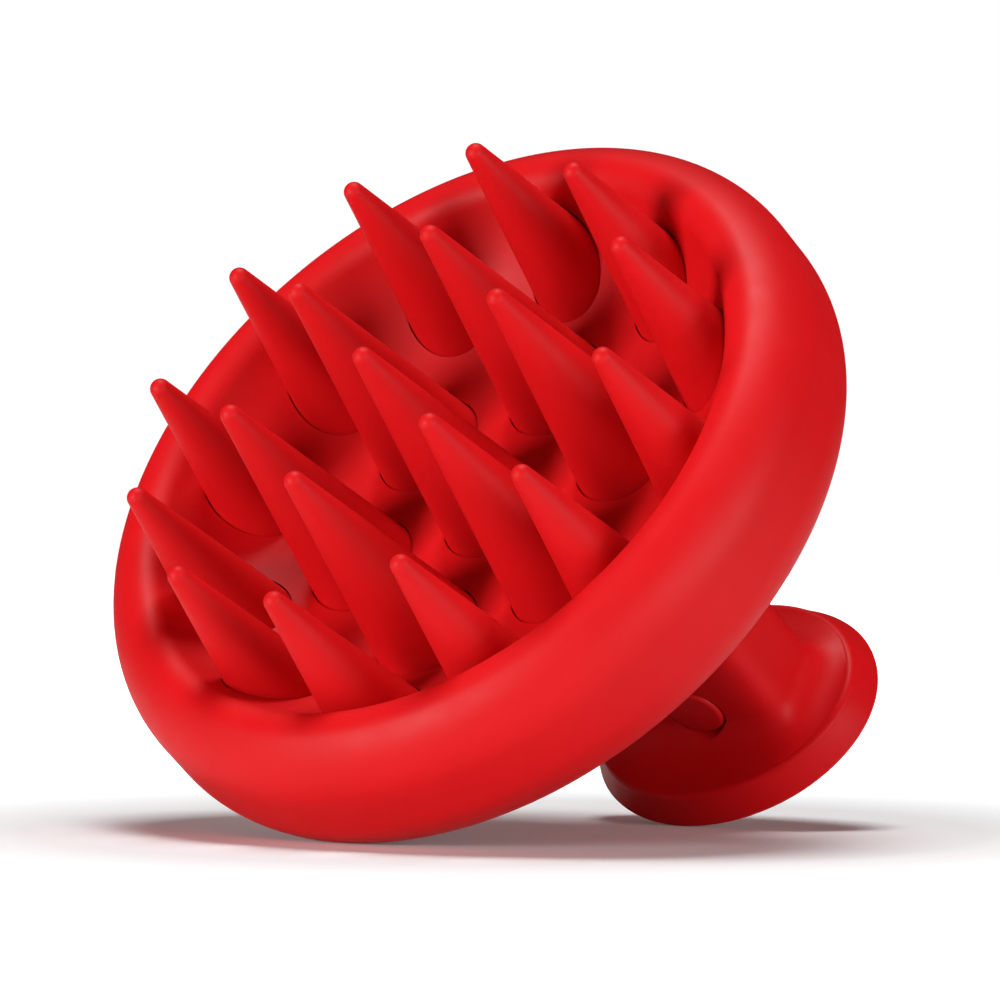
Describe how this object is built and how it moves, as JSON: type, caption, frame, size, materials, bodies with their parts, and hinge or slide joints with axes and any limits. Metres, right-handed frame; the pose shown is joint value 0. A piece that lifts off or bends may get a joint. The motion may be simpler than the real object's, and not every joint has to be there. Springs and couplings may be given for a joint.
{
  "type": "electric scalp massager",
  "caption": "Handheld vibrating scalp massager: round soft cup of cone-shaped fingers on a shallow dome, with an oval grip and a push button.",
  "frame": {"origin": "on the flat end face of the grip, directly under the centre of the cup", "axes": "+Z from the grip's end face up through the cup to the finger tips, +X along the oval grip towards the side it is set to, -Y the side of the push button"},
  "size_m": [0.084, 0.084, 0.0648],
  "materials": {
    "silicone_red": "satin silicone",
    "finger_red": "satin silicone",
    "shell_red": "soft matt moulding",
    "cover_red": "fine matt moulding",
    "button_red": "satin silicone",
    "white_plastic": "matt moulding",
    "black_plastic": "matt moulding",
    "seal_black": "matt",
    "steel": "brushed",
    "gold_contact": "plated",
    "bush_bronze": "sintered",
    "copper": "wound wire",
    "board_green": "solder mask",
    "cell_foil": "foil",
    "foam_grey": "foam",
    "magnet_grey": "sintered",
    "tungsten": "machined"
  },
  "bodies": {
    "massager": {"silicone_cup": "silicone_red", "silicone_fingers": "finger_red", "finger_plate": "white_plastic", "plate_screws": "steel", "back_shell": "shell_red", "handle_shell": "shell_red", "end_cover": "cover_red", "end_seal": "seal_black", "end_screws": "steel", "switch_body": "steel", "control_board": "board_green", "board_parts": "black_plastic", "battery_cell": "cell_foil", "battery_pad": "foam_grey", "battery_leads": "seal_black", "charge_pins": "gold_contact", "pin_holder": "black_plastic", "charge_magnets": "steel", "charge_leads": "seal_black", "motor_can": "steel", "motor_magnets": "magnet_grey", "motor_bushes": "bush_bronze", "motor_end_cap": "black_plastic", "motor_bracket": "steel", "bracket_screws": "steel", "motor_leads": "seal_black"},
    "button": {"power_button": "button_red", "button_seal": "seal_black", "switch_plunger": "black_plastic"},
    "rotor": {"motor_shaft": "steel", "motor_armature": "copper", "eccentric_weight": "tungsten"}
  },
  "joints": [
    {"name": "button_press", "type": "slide", "parent": "massager", "child": "button", "axis": [0, 1, 0], "range_m": [0, 0.0006], "stiffness_N_per_m": 1500, "springref_m": -0.0004},
    {"name": "motor_spin", "type": "hinge", "parent": "massager", "child": "rotor", "pos_m": [-0.009, 0, 0.0297], "axis": [0, 1, 0], "continuous": true}
  ]
}
